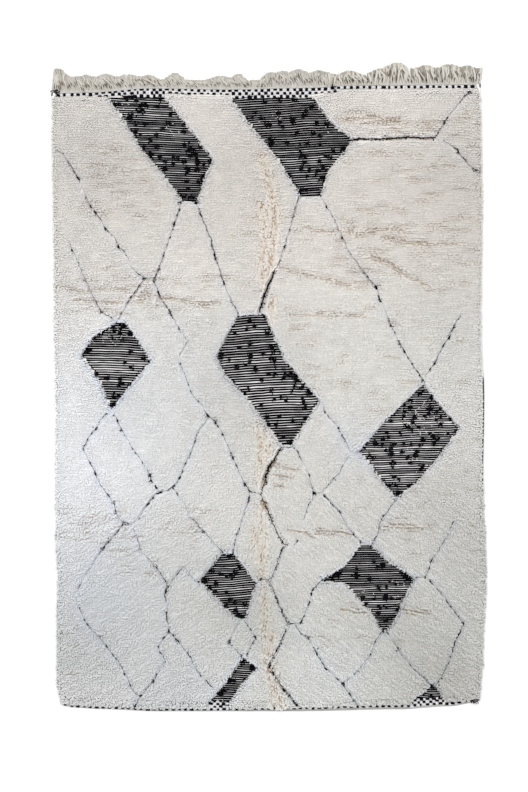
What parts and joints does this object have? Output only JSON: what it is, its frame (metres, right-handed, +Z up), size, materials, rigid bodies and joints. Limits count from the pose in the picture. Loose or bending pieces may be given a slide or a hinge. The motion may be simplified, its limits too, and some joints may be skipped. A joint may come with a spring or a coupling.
{
  "type": "hand-knotted wool pile rug with fringe",
  "caption": "Rectangular wool pile rug lying flat, with sunken flat-woven lozenges, bound sides, flat end bands and a warp fringe along one end.",
  "frame": {"origin": "under the middle of the rug's outline, on the surface that it lies on", "axes": "+X across the rug, +Y along it towards the fringed end, +Z up from the surface"},
  "size_m": [2.0209, 3.0163, 0.0275],
  "materials": {
    "pile_wool": "deep hand-knotted pile of undyed cream wool, matt and slightly shaggy, with black wool in the flat-woven lozenges and lines",
    "fringe_wool": "plied undyed wool warp, matt, beige grey",
    "dark_wool": "overcast near-black wool yarn, matt"
  },
  "bodies": {
    "root": {"rug_cloth": "pile_wool", "warp_fringe": "fringe_wool", "selvedge_left": "dark_wool", "selvedge_right": "dark_wool"}
  },
  "joints": []
}
